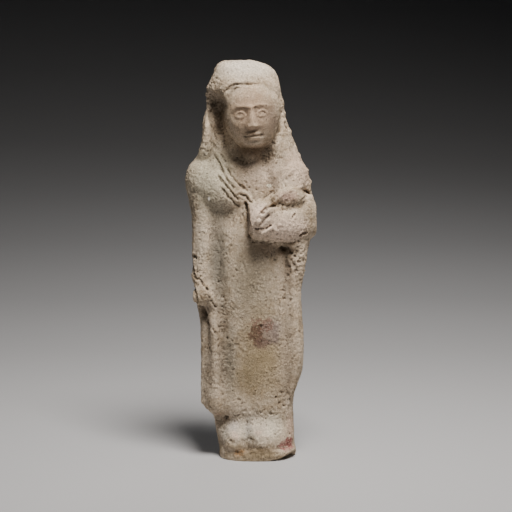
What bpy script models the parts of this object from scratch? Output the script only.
"""A standing woman of mould-made terracotta, fired in one piece with her low plinth.

She faces -Y, wears a veil over her head and shoulders, holds a fold of her skirt in her lowered
right hand, and lifts the edge of her mantle on her left forearm. The clay is built up from simple
masses, remeshed into one skin, carved, and cut flat underneath.
"""

import bmesh
import bpy
import numpy as np
from mathutils import Matrix, Vector

# Driving dimensions, in metres.
FIGURE_HEIGHT = 0.195
PLINTH_HEIGHT = 0.0055
PLINTH_WIDTH = 0.039
PLINTH_DEPTH = 0.033

# The figure is drawn on a grid of 195 parts to its height, so that one part is a millimetre at the
# real size. Its points are (x, y, z) in parts, with z from the plinth's top.
GRID_PARTS = 195
PART = FIGURE_HEIGHT / GRID_PARTS

# The plinth's middle, seen from above, in parts of the figure.
PLINTH_PLACE = (3.6, -2.6)

# Fineness of the skin, and how far it is rubbed smooth before carving.
SKIN_CELL = 0.62 * PART
SKIN_RUBS = 7
RUB_SHARE = 0.5
SOLID_TRIANGLES = 9600
SHARP_ANGLE = np.radians(50)

# Share of a stroke over which it fades in and out, and a slope that counts as facing the front.
STROKE_FADE = 0.12
FRONT_SLOPE = 0.05

CLAY_COLOUR = (0.50, 0.43, 0.35, 1.0)
CLAY_ROUGHNESS = 0.93

# Outline and depth of the trunk, the veil and the skirt: height, left edge, right edge, front, back.
TRUNK = (
    (-3.0, -15.6, 22.4, -15.0, 12.5),
    (1.0, -16.4, 22.4, -15.0, 12.5),
    (8.0, -17.8, 22.2, -13.6, 12.5),
    (14.0, -18.8, 21.7, -12.8, 12.5),
    (17.5, -21.6, 21.6, -13.4, 12.6),
    (21.0, -24.4, 21.6, -13.8, 12.8),
    (27.5, -25.0, 22.6, -13.8, 12.8),
    (37.0, -25.2, 26.2, -13.4, 12.8),
    (46.0, -25.3, 27.0, -13.2, 13.0),
    (60.0, -25.4, 26.8, -13.2, 13.6),
    (75.0, -27.6, 25.6, -13.4, 13.8),
    (89.0, -28.6, 26.2, -12.8, 12.8),
    (107.0, -28.8, 30.6, -11.6, 12.2),
    (120.0, -29.6, 31.6, -11.0, 12.8),
    (131.0, -32.2, 30.6, -10.6, 13.2),
    (137.5, -32.6, 29.3, -9.8, 13.0),
    (142.5, -30.6, 27.3, -8.6, 12.4),
    (147.0, -27.0, 24.9, -7.2, 12.0),
    (151.0, -25.8, 23.4, -6.4, 11.8),
    (156.0, -24.4, 21.3, -6.8, 11.8),
    (165.0, -23.8, 17.9, -7.6, 12.6),
    (170.0, -22.4, 16.8, -8.4, 13.0),
    (175.0, -22.0, 15.7, -9.4, 13.4),
    (182.5, -21.2, 14.7, -12.0, 13.0),
    (188.0, -18.9, 13.0, -12.4, 11.2),
    (191.4, -17.6, 10.6, -10.2, 8.6),
    (193.6, -16.0, 7.0, -6.8, 5.2),
    (195.2, -13.0, 1.0, -2.6, 1.6),
)
TRUNK_SQUARENESS = 2.5
PLINTH_SQUARENESS = 2.7

# The mantle gathered over her left forearm, from its hanging end to the elbow: x, low, high, front, back.
BUNDLE = (
    (-1.0, 107.8, 123.6, -19.4, -6.0),
    (0.4, 106.4, 125.2, -21.6, -6.0),
    (4.0, 105.4, 126.0, -23.0, -5.0),
    (11.0, 105.0, 127.4, -22.8, -5.0),
    (19.0, 104.6, 128.6, -20.8, -4.0),
    (26.0, 104.4, 128.6, -17.0, -2.0),
    (30.2, 105.4, 127.0, -13.0, 0.0),
    (33.0, 108.0, 122.6, -8.6, 2.0),
)
BUNDLE_SQUARENESS = 2.8
BUNDLE_RINGS = 34
RING_POINTS = 64
RING_STEP = 2.0

# Rolls of clay along curves: x, y, z and radius at each knot.
VEIL_LEFT = (
    (-20.4, -6.0, 172.0, 2.0),
    (-21.2, -6.0, 160.0, 2.4),
    (-23.0, -5.0, 149.0, 3.0),
    (-25.0, -2.0, 142.0, 3.0),
)
VEIL_RIGHT = (
    (11.6, -4.6, 178.0, 3.4),
    (12.6, -4.2, 164.0, 5.0),
    (14.0, -3.4, 152.0, 7.6),
    (16.4, -2.4, 140.0, 10.4),
    (18.0, -1.6, 130.0, 11.0),
)
RIGHT_ARM = (
    (-24.4, -3.5, 132.0, 8.0),
    (-23.4, -5.2, 116.0, 6.2),
    (-23.6, -6.2, 98.0, 5.8),
    (-24.0, -7.0, 86.0, 5.6),
    (-23.2, -7.6, 77.0, 4.6),
)
THUMB = (
    (-22.8, -11.8, 83.0, 2.0),
    (-19.0, -12.6, 76.5, 2.2),
    (-17.8, -11.8, 71.0, 1.6),
)
LEFT_UPPER_ARM = (
    (24.2, -3.0, 136.0, 5.4),
    (26.6, -5.0, 122.0, 5.8),
    (26.4, -7.0, 112.0, 6.8),
)
MANTLE_SIDE = (
    (24.4, -8.0, 110.0, 5.0),
    (23.0, -8.2, 96.0, 5.2),
    (20.8, -8.6, 78.0, 4.6),
    (22.0, -8.6, 56.0, 4.6),
    (21.0, -8.0, 40.0, 4.4),
    (17.8, -5.0, 22.0, 3.0),
)
INNER_FOLD = (
    (-19.0, -10.0, 78.0, 2.8),
    (-18.0, -10.2, 62.0, 3.6),
    (-17.9, -10.4, 42.0, 4.2),
    (-18.2, -10.2, 26.0, 4.6),
    (-17.0, -9.6, 19.0, 4.0),
)
OUTER_FOLD = (
    (-22.6, -5.8, 66.0, 2.4),
    (-22.4, -6.6, 44.0, 2.8),
    (-22.2, -6.8, 22.0, 3.2),
)

# The head leans towards her right shoulder. The face is drawn to the usual thirds and fifths.
FACE_MIDDLE = (0.6, 167.4)
FACE_LEAN = np.radians(5.0)
HEAD_HEIGHT = 36.0
HEAD_WIDTH = 29.6
FACE_HEIGHT = 31.5
FACE_WIDTH = 27.0
FACE_THIRD = FACE_HEIGHT / 3
EYE_WIDTH = FACE_WIDTH / 5


def place(x, y, z):
    """A point of the figure's grid, in metres."""
    return Vector((x * PART, y * PART, PLINTH_HEIGHT + z * PART))


def smooth_through(knots, count):
    """Points of a curve that runs smoothly through the knots, as rows of an array."""
    knots = np.array(knots, float)
    padded = np.vstack([2 * knots[0] - knots[1], knots, 2 * knots[-1] - knots[-2]])
    spans = len(knots) - 1
    at = np.linspace(0, spans, count)
    span = np.minimum(at.astype(int), spans - 1)
    t = (at - span)[:, None]
    before, start, end, after = (padded[span + i] for i in range(4))
    bend = 2 * before - 5 * start + 4 * end - after
    twist = 3 * (start - end) + after - before
    return start + t / 2 * (end - before + t * (bend + t * twist))


def new_object(name, mesh, collection):
    """A mesh object linked to the collection."""
    made = bpy.data.objects.new(name, mesh)
    collection.objects.link(made)
    return made


def loft(name, rings, collection):
    """A closed skin through rings of equally many points, which run anticlockwise from above."""
    shape = bmesh.new()
    loops = [[shape.verts.new(point) for point in ring] for ring in rings]
    for below, above in zip(loops, loops[1:]):
        for i, corner in enumerate(below):
            after = (i + 1) % len(below)
            shape.faces.new((corner, below[after], above[after], above[i]))
    shape.faces.new(reversed(loops[0]))
    shape.faces.new(loops[-1])
    mesh = bpy.data.meshes.new(name)
    shape.to_mesh(mesh)
    shape.free()
    return new_object(name, mesh, collection)


def rounded_ring(left, right, front, back, squareness):
    """x and y of a ring with rounded corners, from its four extents."""
    turn = np.linspace(0, 2 * np.pi, RING_POINTS, endpoint=False)
    across = np.sign(np.cos(turn)) * np.abs(np.cos(turn)) ** (2 / squareness)
    along = np.sign(np.sin(turn)) * np.abs(np.sin(turn)) ** (2 / squareness)
    middle = (left + right) / 2
    x = middle + (right - left) / 2 * across
    y = np.where(along < 0, -front * along, back * along)
    return x, y


def add_trunk(collection):
    """Veil, shoulders, trunk and skirt as one loft."""
    count = round((TRUNK[-1][0] - TRUNK[0][0]) / RING_STEP)
    rings = []
    for height, *extents in smooth_through(TRUNK, count):
        x, y = rounded_ring(*extents, TRUNK_SQUARENESS)
        rings.append([place(a, b, height) for a, b in zip(x, y)])
    loft("trunk", rings, collection)


def add_plinth(collection):
    """The low plinth, in its own sizes, left long below so that it can be cut flat."""
    half_width, half_depth = PLINTH_WIDTH / 2, PLINTH_DEPTH / 2
    x, y = rounded_ring(-half_width, half_width, -half_depth, half_depth, PLINTH_SQUARENESS)
    middle = Vector((PLINTH_PLACE[0] * PART, PLINTH_PLACE[1] * PART, 0))
    rings = []
    for height, share in ((-PLINTH_HEIGHT, 1.0), (PLINTH_HEIGHT * 0.55, 1.0), (PLINTH_HEIGHT, 0.97)):
        rings.append([middle + Vector((a * share, b * share, height)) for a, b in zip(x, y)])
    loft("plinth", rings, collection)


def add_mass(name, middle, radii, collection, lean=0.0):
    """An egg of clay: its middle and its three radii in parts, turned about the Y axis by lean degrees."""
    shape = bmesh.new()
    bmesh.ops.create_uvsphere(shape, u_segments=32, v_segments=20, radius=1.0)
    mesh = bpy.data.meshes.new(name)
    shape.to_mesh(mesh)
    shape.free()
    stretch = Matrix.Diagonal((*(r * PART for r in radii), 1.0))
    turn = Matrix.Rotation(np.radians(lean), 4, "Y")
    mesh.transform(Matrix.Translation(place(*middle)) @ turn @ stretch)
    return new_object(name, mesh, collection)


def add_roll(name, knots, collection):
    """A roll of clay along a curve. Each knot is x, y, z and the roll's radius, in parts."""
    curve = bpy.data.curves.new(name, "CURVE")
    curve.dimensions = "3D"
    curve.bevel_depth = PART
    curve.bevel_resolution = 6
    curve.use_fill_caps = True
    points = smooth_through(knots, 8 * len(knots))
    spline = curve.splines.new("POLY")
    spline.points.add(len(points) - 1)
    for point, (x, y, z, radius) in zip(spline.points, points):
        point.co = (*place(x, y, z), 1.0)
        point.radius = radius
    made = bpy.data.objects.new(name, curve)
    collection.objects.link(made)
    return made


def add_head(collection):
    """Face, hood, neck and the veil's rim on either side of them."""
    x, z = FACE_MIDDLE
    lean = -np.degrees(FACE_LEAN)
    add_mass("face", (x, -6.6, z + 2.6), (HEAD_WIDTH / 2, 14.4, HEAD_HEIGHT / 2), collection, lean)
    add_mass("jaw", (x + 0.9, -8.6, z - 6.2), (11.4, 10.4, 10.6), collection, lean)
    add_mass("hood", (-2.8, -3.6, 179.2), (17.8, 13.6, 14.2), collection, lean)
    add_mass("crown", (-5.6, -2.0, 184.0), (12.8, 11.4, 10.8), collection)
    add_roll("neck", ((x + 1, 0, 134, 9), (x + 1, -1.2, 146, 9), (x + 1, -2.6, 160, 9)), collection)
    add_roll("veil_left", VEIL_LEFT, collection)
    add_roll("veil_right", VEIL_RIGHT, collection)


def add_right_arm(collection):
    """Shoulder, breast, lowered arm and the hand that grips the skirt."""
    add_mass("right_shoulder", (-24.0, -1.5, 134.5), (9.0, 11.0, 12.5), collection)
    add_mass("right_breast", (-14.6, -7.0, 130.0), (14.0, 7.4, 11.0), collection, 28)
    add_roll("right_arm", RIGHT_ARM, collection)
    add_mass("right_hand", (-22.8, -9.2, 79.0), (5.9, 5.2, 7.8), collection, 24)
    add_roll("thumb", THUMB, collection)


def add_left_arm(collection):
    """Upper arm, raised forearm, and the mantle that it gathers up."""
    add_mass("left_shoulder", (19.2, -4.0, 136.0), (9.8, 10.4, 12.4), collection)
    add_roll("left_upper_arm", LEFT_UPPER_ARM, collection)
    rings = []
    for x, low, high, front, back in smooth_through(BUNDLE, BUNDLE_RINGS):
        z, y = rounded_ring(low, high, -front, -back, BUNDLE_SQUARENESS)
        rings.append([place(x, -b, a) for a, b in zip(z, y)])
    loft("bundle", rings, collection)
    add_mass("left_wrist", (18.6, -14.0, 126.6), (9.0, 5.6, 5.4), collection, -14)
    add_roll("mantle_side", MANTLE_SIDE, collection)


def add_skirt_folds(collection):
    """The gathered fold under the right hand, and the narrow one outside it."""
    add_roll("inner_fold", INNER_FOLD, collection)
    add_roll("outer_fold", OUTER_FOLD, collection)


def add_feet(collection):
    """Two feet side by side on the plinth, and the clay that runs down to them."""
    add_mass("right_foot", (-7.0, -8.6, 4.0), (7.4, 9.8, 9.0), collection)
    add_mass("left_foot", (6.6, -8.8, 4.0), (8.0, 10.0, 9.4), collection)
    add_mass("apron", (3.4, -6.0, 3.0), (17.0, 10.4, 16.0), collection)


def one_skin(collection):
    """The mesh of a single closed skin round all the masses, rubbed smooth."""
    graph = bpy.context.evaluated_depsgraph_get()
    shape = bmesh.new()
    for mass in collection.objects:
        lump = bpy.data.meshes.new_from_object(mass.evaluated_get(graph))
        shape.from_mesh(lump)
        bpy.data.meshes.remove(lump)
    bmesh.ops.remove_doubles(shape, verts=shape.verts, dist=1e-6)
    joined = bpy.data.meshes.new("skin")
    shape.to_mesh(joined)
    shape.free()
    skin = new_object("skin", joined, collection)
    remesh = skin.modifiers.new("one_skin", "REMESH")
    remesh.mode = "VOXEL"
    remesh.voxel_size = SKIN_CELL
    rub = skin.modifiers.new("rub", "SMOOTH")
    rub.factor = RUB_SHARE
    rub.iterations = SKIN_RUBS
    return baked(skin)


def baked(source):
    """The object's mesh with its modifiers applied."""
    bpy.context.view_layer.update()
    graph = bpy.context.evaluated_depsgraph_get()
    return bpy.data.meshes.new_from_object(source.evaluated_get(graph))


class Carver:
    """Moves the points of a mesh, as strokes seen from the front of the figure.

    Paths are (x, z) points in parts, and widths and depths are in parts too.
    """

    def __init__(self, mesh):
        self.mesh = mesh
        self.points = np.empty(len(mesh.vertices) * 3, np.float32)
        mesh.vertices.foreach_get("co", self.points)
        self.points = self.points.reshape(-1, 3).astype(float)
        self.read_normals()

    def read_normals(self):
        """Takes each point's normal from the mesh as it is now, and how far it faces the front."""
        self.mesh.vertices.foreach_set("co", self.points.astype(np.float32).ravel())
        self.mesh.update()
        normals = np.empty(len(self.mesh.vertices) * 3, np.float32)
        self.mesh.vertices.foreach_get("normal", normals)
        self.normals = normals.reshape(-1, 3).astype(float)
        self.facing = np.clip((-self.normals[:, 1] - FRONT_SLOPE) / 0.3, 0, 1)

    def seen(self):
        """x and z of every point, in parts."""
        return self.points[:, 0] / PART, (self.points[:, 2] - PLINTH_HEIGHT) / PART

    def press(self, depths):
        """Pushes each point in along its normal by its depth, in parts, where it faces the front."""
        self.points -= self.normals * (depths * self.facing * PART)[:, None]

    def raise_relief(self, heights):
        """Lifts each point straight towards the front by its height, in parts."""
        self.points[:, 1] -= heights * self.facing * PART

    def distances(self, path):
        """Distance of every point from the path, and how far along it is, from 0 to 1."""
        x, z = self.seen()
        line = smooth_through(path, 12 * len(path))
        best = np.full(len(x), np.inf)
        share = np.zeros(len(x))
        for i, ((x0, z0), (x1, z1)) in enumerate(zip(line, line[1:])):
            run_x, run_z = x1 - x0, z1 - z0
            t = np.clip(((x - x0) * run_x + (z - z0) * run_z) / (run_x**2 + run_z**2), 0, 1)
            gap = np.hypot(x - x0 - t * run_x, z - z0 - t * run_z)
            closer = gap < best
            best[closer] = gap[closer]
            share[closer] = ((i + t) / (len(line) - 1))[closer]
        return best, share

    def groove(self, path, width, depth):
        """A channel that fades out at both ends of the path. A negative depth gives a ridge."""
        gap, share = self.distances(path)
        fade = np.clip(np.minimum(share, 1 - share) / STROKE_FADE, 0, 1)
        self.press(depth * fade * np.exp(-((gap / width) ** 2)))

    def shave(self, point, direction):
        """Takes off flat whatever stands past the point in the direction, both as x, y, z."""
        away = np.array(direction) / np.linalg.norm(direction)
        past = np.maximum((self.points - np.array(place(*point))) @ away, 0)
        self.points -= past[:, None] * away

    def dent(self, x, z, half_width, half_height, depth, lean=0.0):
        """A soft hollow, or a swelling if the depth is negative, turned by lean degrees."""
        across, up = self.seen()
        turn = np.radians(lean)
        u = (across - x) * np.cos(turn) + (up - z) * np.sin(turn)
        v = (up - z) * np.cos(turn) - (across - x) * np.sin(turn)
        self.press(depth * np.exp(-((u / half_width) ** 2) - (v / half_height) ** 2))


def bump(u, v, half_width, half_height):
    """A smooth hill of height 1 over an oval."""
    return np.exp(-((u / half_width) ** 2) - (v / half_height) ** 2)


def face_relief(u, v):
    """Height of the features over the egg. u runs across from the nose, and v up from the chin."""
    brow, nose_base = 2 * FACE_THIRD, FACE_THIRD
    eye_line = brow - 0.24 * FACE_THIRD
    mouth = nose_base * 0.66
    beside = np.abs(u)
    nose_run = np.clip((brow + 1.5 - v) / (brow + 1.5 - nose_base - 1.2), 0, 1)
    nose_wide = 0.26 * EYE_WIDTH + 0.26 * EYE_WIDTH * nose_run**2
    nose_end = 1 / (1 + np.exp(-(v - nose_base - 0.4) / 0.42))
    nose = (0.5 + 3.1 * nose_run) * np.exp(-((beside / nose_wide) ** 2)) * nose_end * (v < brow + 4)
    nose *= np.clip((brow + 4 - v) / 3, 0, 1)
    sockets = -1.25 * bump(beside - 0.98 * EYE_WIDTH, v - eye_line, 0.62 * EYE_WIDTH, 0.26 * FACE_THIRD)
    balls = 1.15 * bump(beside - 1.02 * EYE_WIDTH, v - eye_line, 0.42 * EYE_WIDTH, 0.15 * FACE_THIRD)
    brow_arch = brow + 0.10 * FACE_THIRD - 0.020 * (beside - 0.9 * EYE_WIDTH) ** 2
    brows = 0.55 * np.exp(-(((v - brow_arch) / 1.1) ** 2)) * np.exp(-((beside / (1.75 * EYE_WIDTH)) ** 6))
    lip_width = 0.75 * EYE_WIDTH
    upper = 0.75 * bump(u, v - mouth - 0.85, lip_width, 0.75)
    lower = 0.85 * bump(u, v - mouth + 1.05, 0.85 * lip_width, 0.85)
    parting = -0.75 * bump(u, v - mouth, 1.15 * lip_width, 0.42)
    chin = 1.0 * bump(u, v - 0.22 * FACE_THIRD, 3.4, 2.2)
    under_lip = -0.5 * bump(u, v - mouth + 2.9, 3.2, 0.9)
    cheeks = 0.7 * bump(beside - 1.25 * EYE_WIDTH, v - 1.05 * FACE_THIRD, 3.6, 4.4)
    return nose + sockets + balls + brows + upper + lower + parting + chin + under_lip + cheeks


def carve_face(clay):
    """Features of the face, in its own leaning frame."""
    across, up = clay.seen()
    x, z = across - FACE_MIDDLE[0], up - FACE_MIDDLE[1]
    u = x * np.cos(FACE_LEAN) + z * np.sin(FACE_LEAN)
    v = z * np.cos(FACE_LEAN) - x * np.sin(FACE_LEAN) + FACE_HEIGHT / 2
    inside = np.clip((1.12 - np.hypot(u / (FACE_WIDTH / 2), (v / FACE_HEIGHT - 0.5) * 2)) / 0.25, 0, 1)
    clay.raise_relief(face_relief(u, v) * inside)
    clay.read_normals()


def carve_veil(clay):
    """Hairline, the hollows beside the face, and the pleats that fall on her right breast."""
    clay.groove(((-13.5, 178.5), (-10, 182), (-5, 183.8), (2, 184), (8, 182), (12, 177)), 0.8, 0.9)
    clay.dent(-17.0, 171.0, 3.0, 7.5, 3.0)
    clay.dent(-15.0, 158.5, 3.2, 8.0, 2.0, 14)
    clay.dent(-21.2, 174.4, 1.8, 2.6, 2.0)
    clay.dent(1.0, 146.6, 13.0, 5.0, 1.6)
    pleats = (
        ((-18.4, 149.0), (-15.2, 143.0), (-11.7, 136.5), (-7.0, 130.8)),
        ((-12.6, 142.6), (-8.2, 136.6), (-4.2, 132.9), (-1.0, 130.4)),
        ((-16.4, 139.2), (-12.7, 134.2), (-9.7, 130.7), (-5.4, 125.4)),
        ((-15.0, 133.4), (-11.2, 128.2), (-7.7, 124.2), (-4.8, 121.2)),
    )
    for path in pleats:
        clay.groove(path, 0.8, 0.9)
    clay.read_normals()


def carve_mantle(clay):
    """The mantle over her left arm: its border, its gathered end and the folds in it."""
    clay.groove(((5.4, 126.0), (9.2, 128.6), (13.0, 130.8)), 1.0, 0.6)
    clay.groove(((11.0, 124.6), (16.6, 129.8), (23.0, 132.2), (27.0, 133.7)), 1.2, -0.8)
    clay.groove(((2.4, 124.0), (10.7, 127.9), (19.0, 135.4)), 1.6, -0.7)
    clay.dent(28.6, 129.6, 2.4, 1.1, 2.2)
    clay.dent(17.8, 122.8, 5.4, 1.6, 1.6, 4)
    clay.groove(((-3.0, 126.0), (-1.9, 119.4), (-1.5, 112.4), (-1.4, 105.6)), 1.0, 1.2)
    clay.groove(((2.0, 113.8), (5.7, 118.7), (12.4, 122.5)), 1.0, -0.9)
    folds = (
        ((2.8, 116.8), (6.2, 121.2), (9.7, 123.7), (13.0, 123.2)),
        ((0.9, 113.1), (3.7, 112.2), (6.7, 112.7), (10.6, 115.8)),
        ((24.0, 108.4), (26.1, 109.5), (28.4, 110.4)),
    )
    for path in folds:
        clay.groove(path, 0.9, 1.0)
    clay.read_normals()


def carve_skirt(clay):
    """The channel inside the arm, the upright folds, the legs under the cloth and the hem."""
    channel = ((-17.6, 118.0), (-16.8, 104.0), (-16.0, 90.0), (-14.6, 78.0), (-13.4, 62.0), (-12.6, 40.0))
    clay.groove((*channel, (-12.2, 24.0)), 3.2, 1.7)
    clay.dent(-12.5, 118.0, 6.5, 5.0, 1.5)
    clay.groove(((-21.4, 68.0), (-21.2, 56.0), (-20.9, 40.0), (-21.3, 24.0)), 1.1, 0.8)
    clay.groove(((18.4, 98.0), (18.6, 80.0), (20.0, 60.0), (20.2, 40.0), (18.0, 26.0)), 1.2, 0.5)
    clay.dent(6.0, 68.0, 12.0, 30.0, -1.0)
    clay.groove(((-21.5, 15.0), (-13.0, 13.8), (-5.0, 14.6), (2.0, 15.6), (9.0, 17.4)), 1.6, 0.8)
    clay.dent(-13.6, 14.4, 2.0, 2.0, 2.2)
    clay.dent(-17.0, 13.2, 3.4, 3.0, 1.2)
    clay.groove(((-0.6, 7.0), (-0.4, 2.0), (-0.2, -3.0)), 1.5, 0.6)
    clay.groove(((-14.0, -0.4), (-6.0, -1.2), (4.0, -1.4), (14.0, -1.0), (20.0, -0.2)), 1.0, 0.5)
    clay.read_normals()


def chip_plinth(clay):
    """The broken corner at the plinth's left front, and the worn one across from it."""
    clay.shave((20.6, -10.0, -4.6), (0.66, -0.30, -0.70))
    clay.shave((-13.6, -14.0, -4.8), (-0.62, -0.42, -0.66))
    clay.read_normals()


def carved_solid(mesh, collection):
    """The carved skin with few faces, cut flat underneath."""
    rough = new_object("rough", mesh, collection)
    fewer = rough.modifiers.new("fewer", "DECIMATE")
    fewer.ratio = SOLID_TRIANGLES / (2 * len(mesh.polygons))
    coarse = baked(rough)
    shape = bmesh.new()
    shape.from_mesh(coarse)
    everything = shape.verts[:] + shape.edges[:] + shape.faces[:]
    floor = {"plane_co": (0, 0, 0), "plane_no": (0, 0, -1)}
    cut = bmesh.ops.bisect_plane(shape, geom=everything, clear_outer=True, **floor)
    rim = [edge for edge in cut["geom_cut"] if isinstance(edge, bmesh.types.BMEdge)]
    bmesh.ops.contextual_create(shape, geom=rim)
    bmesh.ops.triangulate(shape, faces=shape.faces[:])
    shape.to_mesh(coarse)
    shape.free()
    return coarse


def set_on_origin(mesh):
    """Moves the mesh so that the middle of its box is over the origin."""
    points = np.array([vertex.co for vertex in mesh.vertices])
    middle = (points.min(0) + points.max(0)) / 2
    mesh.transform(Matrix.Translation((-middle[0], -middle[1], 0)))


def terracotta():
    """Pale buff clay, fired dull."""
    material = bpy.data.materials.new("terracotta")
    material.use_nodes = True
    shader = material.node_tree.nodes["Principled BSDF"]
    shader.inputs["Base Color"].default_value = CLAY_COLOUR
    shader.inputs["Roughness"].default_value = CLAY_ROUGHNESS
    shader.inputs["Metallic"].default_value = 0.0
    return material


def main():
    """Builds up the masses, carves their common skin and keeps the solid alone."""
    for old in list(bpy.data.objects):
        bpy.data.objects.remove(old)
    masses = bpy.data.collections.new("masses")
    figurine = bpy.data.collections.new("female_figurine")
    for collection in (masses, figurine):
        bpy.context.scene.collection.children.link(collection)
    for add in (add_trunk, add_plinth, add_head, add_right_arm, add_left_arm, add_skirt_folds, add_feet):
        add(masses)
    bpy.context.view_layer.update()
    clay = Carver(one_skin(masses))
    for carve in (carve_face, carve_veil, carve_mantle, carve_skirt, chip_plinth):
        carve(clay)
    solid = carved_solid(clay.mesh, masses)
    for mass in list(masses.objects):
        bpy.data.objects.remove(mass)
    bpy.data.collections.remove(masses)
    set_on_origin(solid)
    solid.shade_smooth()
    solid.set_sharp_from_angle(angle=SHARP_ANGLE)
    new_object("figurine", solid, figurine).data.materials.append(terracotta())


main()
